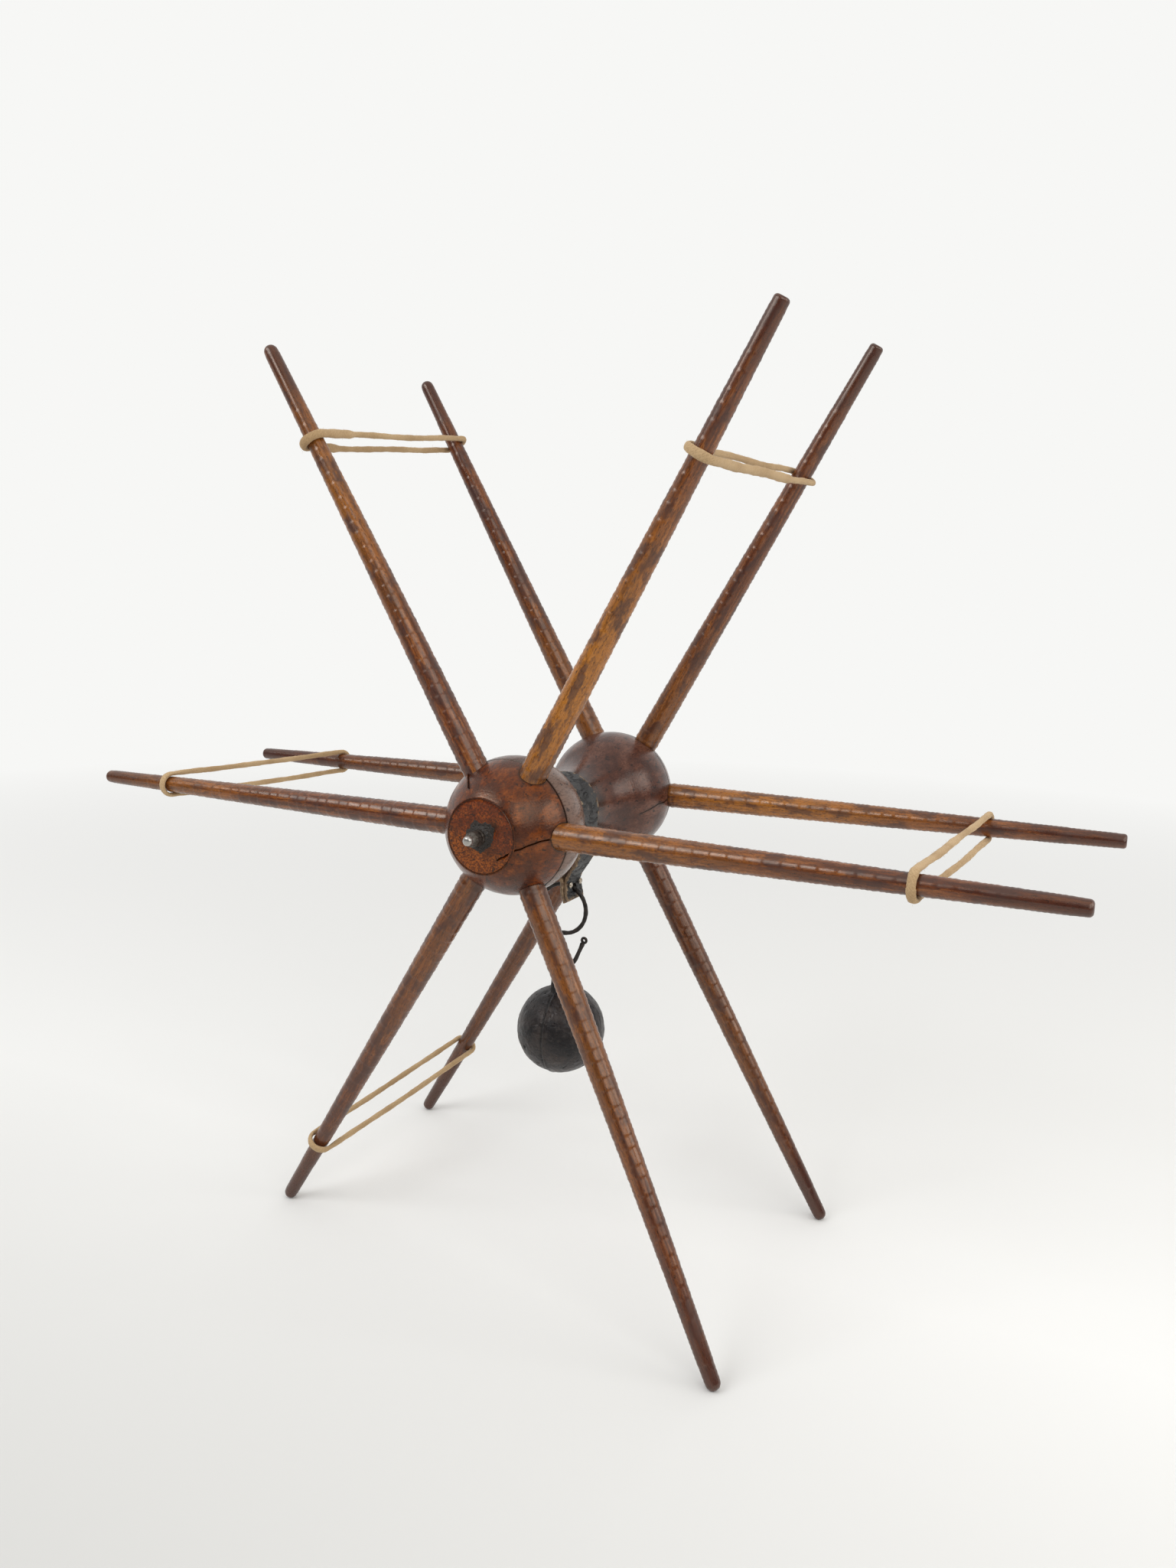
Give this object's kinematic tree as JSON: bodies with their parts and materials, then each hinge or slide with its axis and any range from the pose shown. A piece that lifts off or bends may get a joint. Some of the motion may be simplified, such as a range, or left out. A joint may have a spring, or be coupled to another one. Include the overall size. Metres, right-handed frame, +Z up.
{
  "type": "hank reel",
  "caption": "Wooden hank reel with ball hubs on one core, paired tapered spokes joined by sliding cord loops, and a leather brake strap that carries a hooked iron ball weight.",
  "frame": {"origin": "on the floor, below the middle of the spindle axis", "axes": "+Y along the spindle axis from the front wheel to the rear wheel, +Z up, +X to the right seen from the front"},
  "size_m": [0.561, 0.2024, 0.4879],
  "materials": {
    "hub_wood": "waxed, dark, worn",
    "spoke_wood": "waxed, dark pore flecks",
    "spindle_steel": "worn, greasy",
    "cord_cotton": "braided, fuzzy",
    "strap_leather": "dry, cracked",
    "rivet_steel": "polished by wear",
    "hook_iron": "dark forged wire",
    "weight_iron": "rough cast, dark"
  },
  "bodies": {
    "root": {"hub_core": "hub_wood", "front_cap": "hub_wood", "rear_cap": "hub_wood", "front_spindle": "spindle_steel", "rear_spindle": "spindle_steel", "front_spoke_1": "spoke_wood", "front_spoke_2": "spoke_wood", "front_spoke_3": "spoke_wood", "front_spoke_4": "spoke_wood", "front_spoke_5": "spoke_wood", "front_spoke_6": "spoke_wood", "rear_spoke_1": "spoke_wood", "rear_spoke_2": "spoke_wood", "rear_spoke_3": "spoke_wood", "rear_spoke_4": "spoke_wood", "rear_spoke_5": "spoke_wood", "rear_spoke_6": "spoke_wood"},
    "strap": {"brake_strap": "strap_leather", "strap_rivets": "rivet_steel"},
    "hook": {"drag_hook": "hook_iron"},
    "weight": {"drag_weight": "weight_iron"},
    "loop_1": {"cord_loop_1": "cord_cotton"},
    "loop_2": {"cord_loop_2": "cord_cotton"},
    "loop_3": {"cord_loop_3": "cord_cotton"},
    "loop_5": {"cord_loop_5": "cord_cotton"},
    "loop_6": {"cord_loop_6": "cord_cotton"}
  },
  "joints": [
    {"name": "strap_turn", "type": "hinge", "parent": "root", "child": "strap", "pos_m": [0, -0.007, 0.242], "axis": [0, 1, 0], "continuous": true},
    {"name": "hook_swing", "type": "hinge", "parent": "strap", "child": "hook", "pos_m": [0.0084, -0.007, 0.1994], "axis": [1, 0, 0], "range_deg": [-12, 19]},
    {"name": "weight_swing", "type": "hinge", "parent": "hook", "child": "weight", "pos_m": [0.0035, -0.007, 0.1535], "axis": [1, 0, 0], "range_deg": [-12, 19]},
    {"name": "loop_1_slide", "type": "slide", "parent": "root", "child": "loop_1", "axis": [-0.515, 0, 0.8572], "range_m": [0, 0.03]},
    {"name": "loop_2_slide", "type": "slide", "parent": "root", "child": "loop_2", "axis": [0.4848, 0, 0.8746], "range_m": [0, 0.03]},
    {"name": "loop_3_slide", "type": "slide", "parent": "root", "child": "loop_3", "axis": [0.9999, 0, 0.0131], "range_m": [0, 0.03]},
    {"name": "loop_5_slide", "type": "slide", "parent": "root", "child": "loop_5", "axis": [-0.5113, 0, -0.8594], "range_m": [0, 0.03]},
    {"name": "loop_6_slide", "type": "slide", "parent": "root", "child": "loop_6", "axis": [-0.9999, 0, -0.0131], "range_m": [0, 0.03]}
  ]
}
